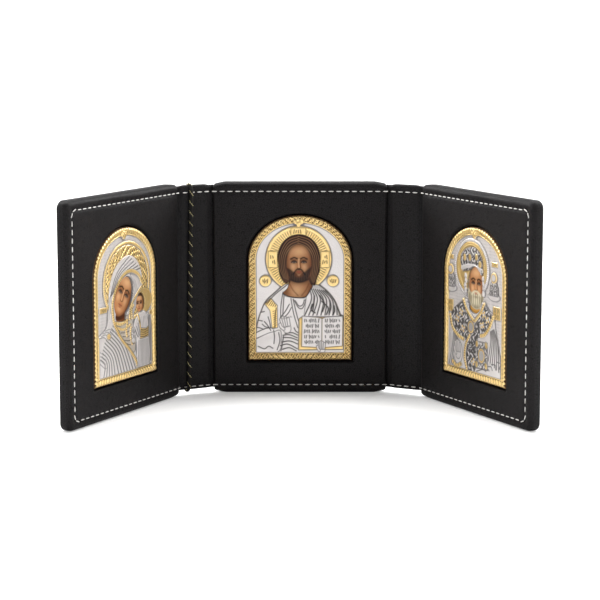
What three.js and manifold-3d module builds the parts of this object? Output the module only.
// A pocket folding triptych: three leather-covered boards, joined by two soft leather spines.
// Each board has an arched window with a painted panel under a pressed metal cover, and a cord
// loop round the left spine holds the boards shut when they are folded.
// Millimetres, +X to the right, +Y away from the viewer, +Z up. The origin is the centre of the
// middle board's underside. It stands open, with its wings turned towards the viewer.
import * as THREE from 'three';
import { mergeVertices } from 'three/addons/utils/BufferGeometryUtils.js';
import Module from 'manifold-3d';

const wasm = await Module();
wasm.setup();

// Boards, from fold to fold and from fold to outer edge
const boardHeight = 80;
const boardThickness = 4.6;
const centreFoldToFold = 66.4;
const wingFoldToEdge = 70;
const boardCornerRadius = 3;
const frontRounding = 1.8;
const backRounding = 1;

// Spines and the grooves that the leather folds in
const spineWidth = 12.8;
const spineThickness = 2.2;
const spineSetback = 0.3;
const spineTopDrop = 1.1;
const spineRounding = 0.9;
const grooveWidth = 1.5;
const grooveSkinThickness = 0.6;
const grooveSkinDepth = 1.5;

// How far the spines and the wings are turned towards the viewer
const spineTurn = THREE.MathUtils.degToRad(26.7);
const wingTurn = THREE.MathUtils.degToRad(60.6);

// Cord loop, with its places across the spine counted from the middle board's fold
const cordDiameter = 1.5;
const cordFloorGap = 0.15;
const cordPlaceAtTop = 8.2;
const cordPlaceAtBottom = 9.8;
const cordSides = 8;
const cordBendSteps = 5;
const cordRunSteps = 6;

// Icons: the arched cover, its window in the leather and the painted panel behind it
const iconWidth = 39;
const iconHeight = 55;
const archRise = 17;
const archSteps = 20;
const windowClearance = 0.6;
const windowRimRounding = 0.8;
const windowDepth = 2.3;
const pictureThickness = 0.6;
const sheetThickness = 0.3;
const restingGap = 0.3;

// Heights of the pressed relief above the cover's ground
const frameWidth = 2.9;
const frameHeight = 0.75;
const haloHeight = 0.3;
const figureHeight = 0.45;
const foldHeight = 0.2;
const detailHeight = 0.65;
const reliefBevel = 0.22;

const fitGap = 0.3;
const spineBottom = cordFloorGap + cordDiameter + fitGap;
const spineTop = boardHeight - spineTopDrop;
const groundDepth = windowDepth - restingGap - pictureThickness - restingGap - sheetThickness;
const iconBottom = (boardHeight - iconHeight) / 2;
const springLine = iconHeight - archRise;

// Points of the plane of a cover: across from its middle, and up from its bottom
const at = (across, up) => new THREE.Vector2(across, up);
const points = (...pairs) => pairs.map(([across, up]) => at(across, up));

function closedGeometry(positions, index) {
  const corner = (i) => new THREE.Vector3().fromArray(positions, 3 * i);
  let volume = 0;
  for (let i = 0; i < index.length; i += 3) {
    volume += corner(index[i]).dot(corner(index[i + 1]).cross(corner(index[i + 2])));
  }
  const geometry = new THREE.BufferGeometry();
  geometry.setAttribute('position', new THREE.Float32BufferAttribute(positions, 3));
  geometry.setIndex(volume > 0 ? index : [...index].reverse());
  return geometry;
}

// A skin over rings with as many points each. With a contour its two ends are capped, and
// without one its last ring joins its first.
function skin(rings, contour = null) {
  const size = rings[0].length;
  const positions = rings.flat().flatMap((point) => point.toArray());
  const index = [];
  const bands = contour ? rings.length - 1 : rings.length;
  for (let i = 0; i < bands; i += 1) {
    const here = i * size;
    const next = ((i + 1) % rings.length) * size;
    for (let j = 0; j < size; j += 1) {
      const k = (j + 1) % size;
      index.push(here + j, next + j, here + k);
      index.push(here + k, next + j, next + k);
    }
  }
  if (contour) {
    const last = (rings.length - 1) * size;
    for (const [a, b, c] of THREE.ShapeUtils.triangulateShape(contour, [])) {
      index.push(a, b, c);
      index.push(last + c, last + b, last + a);
    }
  }
  return closedGeometry(positions, index);
}

function solid(geometry) {
  const bare = geometry.clone();
  bare.deleteAttribute('normal');
  bare.deleteAttribute('uv');
  const merged = mergeVertices(bare, 1e-4);
  return new wasm.Manifold(new wasm.Mesh({
    numProp: 3,
    vertProperties: merged.attributes.position.array,
    triVerts: new Uint32Array(merged.index.array),
  }));
}

function geometryOf(body) {
  const mesh = body.getMesh();
  const geometry = new THREE.BufferGeometry();
  geometry.setAttribute('position', new THREE.BufferAttribute(mesh.vertProperties, 3));
  geometry.setIndex(new THREE.BufferAttribute(mesh.triVerts, 1));
  geometry.computeVertexNormals();
  return geometry;
}

const joined = (solids) => solids.reduce((whole, piece) => whole.add(piece));

// Outlines, anticlockwise as the viewer sees them
function roundedRectangle(left, right, bottom, top, radius, steps = 4) {
  const corners = [
    [right - radius, bottom + radius, -0.5],
    [right - radius, top - radius, 0],
    [left + radius, top - radius, 0.5],
    [left + radius, bottom + radius, 1],
  ];
  return corners.flatMap(([x, z, start]) => Array.from({ length: steps + 1 }, (_, k) => {
    const angle = Math.PI * (start + (0.5 * k) / steps);
    return at(x + radius * Math.cos(angle), z + radius * Math.sin(angle));
  }));
}

function archOutline(offset, sideSteps = 1, bottomSteps = 1) {
  const half = iconWidth / 2 + offset;
  const outline = [];
  for (let k = 0; k < bottomSteps; k += 1) {
    outline.push(at(-half + (2 * half * k) / bottomSteps, -offset));
  }
  for (let k = 0; k < sideSteps; k += 1) {
    outline.push(at(half, -offset + ((springLine + offset) * k) / sideSteps));
  }
  for (let k = 0; k <= archSteps; k += 1) {
    const angle = (Math.PI * k) / archSteps;
    outline.push(at(half * Math.cos(angle), springLine + (archRise + offset) * Math.sin(angle)));
  }
  for (let k = 1; k < sideSteps; k += 1) {
    outline.push(at(-half, springLine - ((springLine + offset) * k) / sideSteps));
  }
  return outline;
}

const ringAtDepth = (outline, depth) => outline.map((p) => new THREE.Vector3(p.x, depth, p.y));

// Insets and depths along a quarter round
function quarterRound(radius, steps) {
  return Array.from({ length: steps + 1 }, (_, k) => {
    const angle = (0.5 * Math.PI * k) / steps;
    return { inset: radius * (1 - Math.sin(angle)), depth: radius * (1 - Math.cos(angle)) };
  });
}

// A board with soft edges, its front face at depth 0, and the arched window cut into it
function boardGeometry(left, right, iconPlace) {
  const outline = (inset) => roundedRectangle(
    left + inset, right - inset, inset, boardHeight - inset, boardCornerRadius - inset,
  );
  const front = quarterRound(frontRounding, 3)
    .map(({ inset, depth }) => ringAtDepth(outline(inset), depth));
  const back = quarterRound(backRounding, 2).reverse()
    .map(({ inset, depth }) => ringAtDepth(outline(inset), boardThickness - depth));
  const board = solid(skin([...front, ...back], outline(frontRounding)));
  return geometryOf(board.subtract(windowSolid(iconPlace)));
}

function windowSolid(iconPlace) {
  const outline = (offset) => archOutline(windowClearance + offset)
    .map((p) => at(p.x + iconPlace, p.y + iconBottom));
  const rim = quarterRound(windowRimRounding, 2)
    .map(({ inset, depth }) => ringAtDepth(outline(inset), depth));
  const mouth = ringAtDepth(outline(windowRimRounding), -1);
  const floor = ringAtDepth(outline(0), windowDepth);
  return solid(skin([mouth, ...rim, floor], outline(0)));
}

// Relief pieces. Heights count towards the viewer from the cover's ground.
function raised(shape, top, bevel = reliefBevel) {
  const foot = -sheetThickness - bevel;
  const geometry = new THREE.ExtrudeGeometry(shape, {
    depth: top - foot - 2 * bevel,
    bevelThickness: bevel,
    bevelSize: bevel,
    bevelOffset: -bevel,
    bevelSegments: 1,
    curveSegments: 2,
  });
  geometry.translate(0, 0, foot + bevel);
  geometry.rotateX(Math.PI / 2);
  return solid(geometry);
}

const shapeOf = (outline) => new THREE.Shape(outline);

function smoothShape(start, curve, end) {
  const shape = new THREE.Shape();
  shape.moveTo(start.x, start.y);
  shape.splineThru(curve);
  shape.lineTo(end.x, end.y);
  return shape;
}

function ellipseOutline(centre, halfAcross, halfUp, turn = 0, steps = 18) {
  return Array.from({ length: steps }, (_, k) => {
    const angle = (2 * Math.PI * k) / steps;
    return at(halfAcross * Math.cos(angle), halfUp * Math.sin(angle))
      .rotateAround(at(0, 0), turn)
      .add(centre);
  });
}

function rectangle(centre, width, height, turn = 0) {
  const [w, h] = [width / 2, height / 2];
  return points([-w, -h], [w, -h], [w, h], [-w, h])
    .map((p) => p.rotateAround(at(0, 0), turn).add(centre));
}

function prism(outline, foot, top) {
  return solid(skin([ringAtDepth(outline, -top), ringAtDepth(outline, -foot)], outline));
}

// A low mound with an elliptical foot
function mound(centre, halfAcross, halfUp, top, turn = 0, steps = 10) {
  const shares = [[1, 0], [0.8, 0.66], [0.4, 1]];
  const rings = shares.reverse().map(([share, height]) => ringAtDepth(
    ellipseOutline(centre, halfAcross * share, halfUp * share, turn, steps),
    -top * height,
  ));
  const foot = ringAtDepth(ellipseOutline(centre, halfAcross, halfUp, turn, steps), sheetThickness);
  return solid(skin([...rings, foot], ellipseOutline(centre, halfAcross, halfUp, turn, steps)));
}

// A ridge with a sharp crest along a smooth line, as pressed folds and braid have
function ridge(line, width, top, steps = 2) {
  const curve = new THREE.SplineCurve(line);
  const sections = curve.getSpacedPoints(steps).map((centre, k) => {
    const tangent = curve.getTangentAt(k / steps);
    const side = at(-tangent.y, tangent.x).multiplyScalar(width / 2);
    return [
      new THREE.Vector3(centre.x - side.x, sheetThickness, centre.y - side.y),
      new THREE.Vector3(centre.x + side.x, sheetThickness, centre.y + side.y),
      new THREE.Vector3(centre.x, -top, centre.y),
    ];
  });
  return solid(skin(sections, points([-1, 0], [1, 0], [0, 1])));
}

// A band along rings of stations, with a crest that rises and falls like beads or a twist
function crestedBand(stationsAt, width, top) {
  const shoulder = 0.62 * top;
  const profile = width > frameWidth / 2
    ? [[0, -sheetThickness], [0.16, shoulder], [0.5, top], [0.84, shoulder], [1, -sheetThickness]]
    : [[0, -sheetThickness], [0.5, top], [1, -sheetThickness]];
  const rings = profile.map(([share, height]) => stationsAt(share * width).map((p, k) => {
    const low = height === top && k % 2 === 1;
    return new THREE.Vector3(p.x, -(low ? shoulder : height), p.y);
  }));
  return solid(skin(rings));
}

const frameBand = () => crestedBand((inset) => archOutline(-inset, 8, 8), frameWidth, frameHeight);

function roundBand(centre, outerRadius, width, top, steps) {
  return crestedBand(
    (inset) => ellipseOutline(centre, outerRadius - inset, outerRadius - inset, 0, steps),
    width,
    top,
  );
}

// A halo of rays round a centre
function rayedHalo(centre, radius, rays) {
  const steps = 2 * rays;
  const rim = (share, even, odd) => ellipseOutline(centre, radius * share, radius * share, 0, steps)
    .map((p, k) => new THREE.Vector3(p.x, -(k % 2 === 0 ? even : odd), p.y));
  const rings = [
    rim(0.4, haloHeight, haloHeight),
    rim(0.86, haloHeight, 0.4 * haloHeight),
    rim(0.93, 1.3 * haloHeight, 1.3 * haloHeight),
    rim(1, 0.2 * haloHeight, 0.2 * haloHeight),
    rim(1, -sheetThickness, -sheetThickness),
  ];
  return solid(skin(rings, ellipseOutline(centre, radius, radius, 0, steps)));
}

function plainHalo(centre, radius) {
  return raised(shapeOf(ellipseOutline(centre, radius, radius, 0, 22)), haloHeight);
}

// A hand seen from its back: a palm and its fingers, pointing along a turn from straight up
function hand(centre, turn, fingerLength) {
  const palm = mound(centre, 1.7, 2, detailHeight, turn, 10);
  const fingers = [-1.2, -0.4, 0.4, 1.2].map((across) => ridge(
    [at(across, 0.8), at(across * 1.1, 0.8 + fingerLength)]
      .map((p) => p.rotateAround(at(0, 0), turn).add(centre)),
    0.85,
    detailHeight + 0.05,
    1,
  ));
  return joined([palm, ...fingers]);
}

const folds = (lines, width = 1.1) => lines.map((line) => (
  ridge(points(...line), width, figureHeight + foldHeight)
));

// The cover's ground with its frame and relief, cut where the painting shows
function coverGeometry(relief, openings) {
  const outline = archOutline(0);
  const room = prism(outline, -sheetThickness, frameHeight + fitGap);
  const inside = prism(archOutline(-0.6 * frameWidth), -sheetThickness, frameHeight + fitGap);
  const ground = prism(outline, -sheetThickness, 0);
  const figure = joined(relief).intersect(inside);
  const pressed = joined([ground, figure, frameBand()]).intersect(room);
  const cut = joined(openings.map((opening) => prism(opening, -1, 2)));
  return geometryOf(pressed.subtract(cut));
}

// Middle cover: a long-haired teacher, a bust with one hand raised and an open book
const teacherHead = at(-0.4, 38.9);
const teacherHaloRadius = 12.3;
const medallionPlaces = [at(-12.9, 30.4), at(12.6, 30.4)];
const medallionRadius = 2.1;
const bookPageWidth = 7;
const bookPageHeight = 11.4;
const bookFold = at(8.2, 10.9);
const bookRows = 5;

function openBook() {
  const board = raised(shapeOf(rectangle(bookFold, 2 * bookPageWidth + 1.6, bookPageHeight + 1.4)),
    figureHeight + 0.1);
  const pages = [-1, 1].map((side) => raised(
    shapeOf(rectangle(at(bookFold.x + side * (bookPageWidth / 2 + 0.2), bookFold.y + 0.3),
      bookPageWidth, bookPageHeight)),
    detailHeight,
  ));
  const rows = [];
  for (const side of [-1, 1]) {
    for (let row = 0; row < bookRows; row += 1) {
      const up = bookFold.y + 0.3 + bookPageHeight * (0.4 - (0.8 * row) / (bookRows - 1));
      const middle = bookFold.x + side * (bookPageWidth / 2 + 0.2);
      const half = 0.36 * bookPageWidth;
      rows.push(ridge([at(middle - half, up), at(middle + half, up)], 0.8, detailHeight + 0.08, 1));
    }
  }
  return joined([board, ...pages, ...rows]);
}

function teacherRelief() {
  const body = smoothShape(
    at(-17, 2),
    points([-16.6, 13.7], [-15.2, 18.7], [-12.6, 24], [-8.5, 27.3], [-4.7, 29.7], [-3, 27.8],
      [3, 27.8], [4.4, 28.6], [9.9, 25.8], [13.2, 21.6], [15, 17]),
    at(17, 2),
  );
  const stole = shapeOf(points([-13, 21.8], [-11.1, 19.1], [-10.3, 12.4], [-8.4, 12.9],
    [-8.6, 20.8], [-10.9, 23.5]));
  const crossArms = [0, 1, 2].map((k) => raised(shapeOf(rectangle(
    at(0, 10.2).rotateAround(at(0, 0), (k - 1) * 0.5 * Math.PI).add(teacherHead),
    k === 1 ? 4.6 : 3.4,
    k === 1 ? 3.4 : 4.6,
  )), haloHeight + 0.15));
  const medallions = medallionPlaces.map((place) => (
    mound(place, medallionRadius, medallionRadius, haloHeight, 0, 14)
  ));
  return [
    rayedHalo(teacherHead, teacherHaloRadius, 20),
    ...crossArms,
    ...medallions,
    raised(body, figureHeight),
    raised(stole, detailHeight),
    openBook(),
    hand(at(-5.2, 12.8), 0.35, 3.2),
    hand(at(8.4, 4.2), 0.1, 1.4),
    ...folds([
      [[4.2, 27.6], [3.8, 22.5], [2.2, 18]],
      [[6.2, 27.4], [6.9, 23], [5.4, 18.4]],
      [[8.2, 26.6], [9.8, 22.6], [9, 18.2]],
      [[10.2, 25.2], [12.4, 21.4], [12.6, 18]],
      [[-5, 28.8], [-9, 26.4], [-12.4, 22.6]],
      [[-6.8, 24.6], [-6.9, 20], [-7.2, 16]],
      [[-2.8, 23], [-2, 17.4], [-1.2, 12]],
      [[1.6, 22.8], [-0.4, 20.4], [-2.2, 19.6]],
      [[-8.4, 3.4], [-6.2, 8], [-1, 10]],
      [[-5.4, 3.4], [-3.8, 6.2], [-1, 7.4]],
      [[-15.2, 14], [-12.6, 13], [-11, 11.6]],
      [[-16, 8.6], [-12.8, 10.4], [-11, 11.2]],
      [[-9.4, 11.6], [-9.2, 8], [-10.4, 4.4]],
    ]),
  ];
}

function teacherOpenings() {
  const hair = ellipseOutline(teacherHead, 8.1, 9.1, 0, 22);
  const neck = points([-6.4, 26], [-3.8, 24.3], [-0.4, 23.8], [2.6, 24.4], [4.6, 26.2], [5.8, 29.6],
    [5.2, 33], [-5.2, 33], [-5, 30]);
  return [hair, neck];
}

// Left cover: a veiled mother with her head turned to the child on her arm
const motherFace = at(-1.3, 30.6);
const motherFaceTurn = -0.42;
const motherHalo = at(1.2, 35.2);
const motherHaloRadius = 14.2;
const childHead = at(9.4, 26.8);
const childHaloRadius = 4.4;

function motherRelief() {
  const veil = smoothShape(
    at(-17, 2),
    points([-16.6, 18.4], [-12.8, 20.6], [-10.8, 24.5], [-10.4, 31.6], [-8, 38.6], [-3.4, 43.4],
      [2.4, 44.8], [7.6, 42.2], [10.6, 36.4], [9.4, 30.6], [6.4, 24]),
    at(9, 2),
  );
  const childBody = smoothShape(
    at(5.6, 2),
    points([5.4, 14], [4.6, 19], [6.6, 22], [9.2, 23.2], [13.4, 21.8], [14.8, 17], [15.2, 10]),
    at(15.4, 2),
  );
  const border = [
    [[7.8, 37.2], [2.2, 39.2], [-3.4, 37], [-7.6, 32.4], [-8.9, 26.2], [-6.6, 19.6]],
    [[-6.6, 19.6], [-2.6, 14.6], [2.6, 9.6], [6, 4]],
    [[-6, 20], [-1, 17.6], [2.2, 19.8]],
  ];
  const pleats = Array.from({ length: 6 }, (_, k) => [
    [-15.4 + 0.6 * k, 15 - 1.6 * k],
    [-9.6 + 1.5 * k, 12.6 - 1.2 * k],
    [-6.6 + 2.4 * k, 3.2],
  ]);
  const headPleats = Array.from({ length: 4 }, (_, k) => [
    [-9.6 + 1.1 * k, 32 + k],
    [-5.4 + 1.2 * k, 40.4 - 0.2 * k],
    [4.6 + 0.9 * k, 43.4 - 1.4 * k],
  ]);
  const childFolds = [0, 1, 2, 3].map((k) => [[8 + 1.7 * k, 13], [7.6 + 1.9 * k, 8],
    [7.4 + 2 * k, 3.2]]);
  return [
    roundBand(motherHalo, motherHaloRadius, 1.2, haloHeight + 0.1, 30),
    roundBand(motherHalo, motherHaloRadius - 1.4, 4, haloHeight, 24),
    raised(veil, figureHeight),
    plainHalo(at(childHead.x + 2.2, childHead.y + 0.4), childHaloRadius),
    raised(childBody, detailHeight - 0.1),
    raised(shapeOf(rectangle(at(11.2, 15.6), 5.4, 3.4)), detailHeight),
    mound(at(-10.9, 17.2), 1.1, 1.1, detailHeight, 0, 8),
    mound(at(-13.2, 26.8), 2.1, 1, haloHeight, 0, 10),
    ...border.map((line) => ridge(points(...line), 1.3, detailHeight, 6)),
    ...folds([...pleats, ...headPleats], 1),
    ...childFolds.map((line) => ridge(points(...line), 0.9, detailHeight + 0.05, 3)),
    hand(at(4.2, 12.6), -0.9, 2.4),
  ];
}

function motherOpenings() {
  const face = ellipseOutline(motherFace, 5.7, 7.8, motherFaceTurn, 22);
  const neck = points([-6.6, 22.4], [-4.4, 20.2], [-0.4, 20.8], [1.2, 23.6], [1.4, 27], [-6, 27]);
  const child = ellipseOutline(childHead, 3.1, 3.7, 0, 18);
  return [face, neck, child];
}

// Right cover: a mitred elder with a short beard, one hand raised and a closed book
const elderFace = at(0, 34.2);
const elderHalo = at(-1.6, 39.8);
const elderHaloRadius = 10.2;
const elderBook = at(5, 9.6);

function elderRelief() {
  const body = smoothShape(
    at(-17, 2),
    points([-15.8, 14], [-15.2, 22.6], [-10, 26.6], [-4.6, 28.4], [0.4, 25.6], [5, 28.4],
      [9.6, 26], [12.6, 22], [14.8, 12]),
    at(17, 2),
  );
  const mitre = smoothShape(
    at(-6, 38.6),
    points([-8.6, 43.6], [-6.4, 46.6], [-1.4, 48.2], [3, 46.8], [5, 43.2]),
    at(4.4, 38.2),
  );
  const stole = [
    [[-8.8, 27], [-4, 22.4], [0.2, 19], [0.4, 12]],
    [[7.4, 26.6], [3, 22.6], [-2, 16], [-3.8, 8], [-3, 3.4]],
    [[-15.2, 21.4], [-13.4, 16.4], [-8.6, 13]],
    [[11.8, 22.4], [8.6, 18.4], [4.4, 16.8]],
  ];
  const attendants = [-14.2, 11.6].flatMap((across) => [
    mound(at(across, 31.4), 2.8, 1.3, haloHeight + 0.1, 0, 12),
    mound(at(across, 34.4), 1.9, 2.4, figureHeight, 0, 10),
    mound(at(across, 37.6), 1.3, 1.4, figureHeight, 0, 10),
  ]);
  const labels = [
    rectangle(at(-14.8, 24.8), 3.6, 4.4),
    rectangle(at(13.4, 25.6), 4.2, 4.6),
    rectangle(at(-14, 42), 3, 1.8),
    rectangle(at(11.8, 42), 3, 1.8),
  ];
  const jewels = [at(-5.6, 43.6), at(-1.8, 44.2), at(2, 43.8)];
  return [
    plainHalo(elderHalo, elderHaloRadius),
    roundBand(elderHalo, elderHaloRadius, 1.1, haloHeight + 0.15, 28),
    raised(body, figureHeight),
    raised(mitre, figureHeight),
    ...labels.map((label) => raised(shapeOf(label), haloHeight, 0.15)),
    ...attendants,
    ...jewels.map((place) => mound(place, 0.9, 1.3, detailHeight, 0, 8)),
    ridge(points([-6.6, 39.8], [-1, 38.6], [4.8, 39.6]), 1.6, detailHeight, 5),
    ...stole.map((line) => ridge(points(...line), 2.2, detailHeight, 6)),
    mound(at(-1.4, 18.4), 1.7, 2.1, detailHeight + 0.05, 0, 12),
    raised(shapeOf(rectangle(elderBook, 7.2, 9.4, 0.06)), detailHeight),
    mound(elderBook, 1.7, 2.2, detailHeight + 0.08, 0, 12),
    hand(at(-9.4, 8), 0.1, 3.4),
    ...folds([
      [[-13.8, 14], [-14.2, 9], [-15, 4]],
      [[-12, 12], [-12.4, 8], [-13, 3.4]],
      [[11.2, 18], [12.8, 12], [14, 5]],
      [[9.8, 14], [11, 9], [11.8, 3.6]],
      [[-5.2, 12.4], [-5.4, 8], [-6, 3.4]],
    ]),
  ];
}

function elderOpenings() {
  const face = ellipseOutline(elderFace, 5, 7.4, 0, 20);
  const neck = points([-3.4, 26.6], [0, 25], [3.6, 26.6], [3.8, 30], [-3.6, 30]);
  return [face, neck];
}

// Spines. A frame gives the place of a point that lies along a face and behind it.
const foldFrame = (fold, turn, side) => (along, behind) => at(
  fold.x + side * (along * Math.cos(turn) + behind * Math.sin(turn)),
  fold.y - along * Math.sin(turn) + behind * Math.cos(turn),
);

const centreFold = (side) => at((side * centreFoldToFold) / 2, -boardThickness / 2);
const wingFold = (side) => foldFrame(centreFold(side), spineTurn, side)(spineWidth, 0);

function spineGeometry(side) {
  const onCentre = foldFrame(centreFold(side), 0, side);
  const onSpine = foldFrame(centreFold(side), spineTurn, side);
  const onWing = foldFrame(wingFold(side), wingTurn, side);
  const reach = grooveWidth / 2 - fitGap;
  const skinBack = grooveSkinDepth + grooveSkinThickness;
  const padStart = grooveWidth / 2;
  const padEnd = spineWidth - grooveWidth / 2;
  const padBack = spineSetback + spineThickness;
  const section = [
    onCentre(-reach, grooveSkinDepth),
    onSpine(padStart, grooveSkinDepth),
    onSpine(padStart, spineSetback),
    onSpine(padEnd, spineSetback),
    onSpine(padEnd, grooveSkinDepth),
    onWing(reach, grooveSkinDepth),
    onWing(reach, skinBack),
    onSpine(padEnd, skinBack),
    onSpine(padEnd - 0.2, padBack),
    onSpine(padStart + 0.2, padBack),
    onSpine(padStart, skinBack),
    onCentre(-reach, skinBack),
  ];
  const prismAcross = new THREE.ExtrudeGeometry(shapeOf(section), {
    depth: spineTop - spineBottom,
    bevelEnabled: false,
  });
  prismAcross.translate(0, 0, spineBottom);
  const softEnds = roundedRectangle(spineSetback, padBack, spineBottom, spineTop, spineRounding);
  const prismAlong = skin([-grooveWidth, spineWidth + grooveWidth].map((along) => (
    softEnds.map((p) => {
      const place = onSpine(along, p.x);
      return new THREE.Vector3(place.x, place.y, p.y);
    })
  )), softEnds);
  return geometryOf(solid(prismAcross).intersect(solid(prismAlong)));
}

// The cord's middle line round the spine, as points behind the spine's face and up from the floor
function cordLine() {
  const clear = cordDiameter / 2 + fitGap;
  const front = spineSetback - clear;
  const back = spineSetback + spineThickness + clear;
  const bend = (back - front) / 2;
  const low = spineBottom - clear + bend;
  const high = spineTop + clear - bend;
  const line = [];
  for (let k = 0; k < cordRunSteps; k += 1) {
    line.push(at(front, low + ((high - low) * k) / cordRunSteps));
  }
  for (let k = 0; k < cordBendSteps; k += 1) {
    const angle = Math.PI * (1 - k / cordBendSteps);
    line.push(at(front + bend + bend * Math.cos(angle), high + bend * Math.sin(angle)));
  }
  for (let k = 0; k < cordRunSteps; k += 1) {
    line.push(at(back, high - ((high - low) * k) / cordRunSteps));
  }
  for (let k = 0; k < cordBendSteps; k += 1) {
    const angle = -Math.PI * (k / cordBendSteps);
    line.push(at(front + bend + bend * Math.cos(angle), low + bend * Math.sin(angle)));
  }
  return line;
}

function cordGeometry() {
  const line = cordLine();
  const slope = (cordPlaceAtTop - cordPlaceAtBottom) / boardHeight;
  const rings = line.map((point, k) => {
    const before = line[(k + line.length - 1) % line.length];
    const after = line[(k + 1) % line.length];
    const along = after.clone().sub(before).normalize();
    const across = -(cordPlaceAtBottom + slope * point.y);
    return Array.from({ length: cordSides }, (_, j) => {
      const angle = (2 * Math.PI * j) / cordSides;
      const out = (cordDiameter / 2) * Math.cos(angle);
      return new THREE.Vector3(
        across + (cordDiameter / 2) * Math.sin(angle),
        point.x - along.y * out,
        point.y + along.x * out,
      );
    });
  });
  return geometryOf(solid(skin(rings)));
}

// Materials
const leather = new THREE.MeshStandardMaterial({ color: 0x1e1c1d, roughness: 0.55 });
const pressedMetal = new THREE.MeshStandardMaterial({
  color: 0xd9d4cf, roughness: 0.3, metalness: 0.9,
});
const paintedPanel = new THREE.MeshStandardMaterial({ color: 0x7d5538, roughness: 0.6 });
const braidedCord = new THREE.MeshStandardMaterial({ color: 0x26221c, roughness: 0.8 });

function named(name, geometry, material) {
  const mesh = new THREE.Mesh(geometry, material);
  mesh.name = name;
  return mesh;
}

function pictureGeometry() {
  const outline = archOutline(0);
  return skin([ringAtDepth(outline, 0), ringAtDepth(outline, pictureThickness)], outline);
}

function addIcon(group, name, place, cover) {
  const metal = named(`${name}_icon_cover`, cover, pressedMetal);
  metal.position.set(place, groundDepth, iconBottom);
  const picture = named(`${name}_icon_picture`, pictureGeometry(), paintedPanel);
  picture.position.set(place, groundDepth + sheetThickness + restingGap, iconBottom);
  group.add(metal, picture);
}

const triptych = new THREE.Group();

const centre = new THREE.Group();
const centreEdge = (centreFoldToFold - grooveWidth) / 2;
centre.position.y = -boardThickness / 2;
centre.add(named('center_panel', boardGeometry(-centreEdge, centreEdge, 0), leather));
addIcon(centre, 'center', 0, coverGeometry(teacherRelief(), teacherOpenings()));
triptych.add(centre);

function addWing(name, side, cover) {
  const wing = new THREE.Group();
  const edges = [(side * grooveWidth) / 2, side * wingFoldToEdge].sort((a, b) => a - b);
  const iconPlace = (side * wingFoldToEdge) / 2;
  wing.add(named(`${name}_wing_panel`, boardGeometry(...edges, iconPlace), leather));
  addIcon(wing, name, iconPlace, cover);
  wing.position.set(wingFold(side).x, wingFold(side).y, 0);
  wing.rotation.z = -side * wingTurn;
  triptych.add(wing);
  triptych.add(named(`${name}_spine`, spineGeometry(side), leather));
}

addWing('left', -1, coverGeometry(motherRelief(), motherOpenings()));
addWing('right', 1, coverGeometry(elderRelief(), elderOpenings()));

const cord = named('elastic_cord', cordGeometry(), braidedCord);
cord.position.set(centreFold(-1).x, centreFold(-1).y, 0);
cord.rotation.z = spineTurn;
triptych.add(cord);

export default triptych;
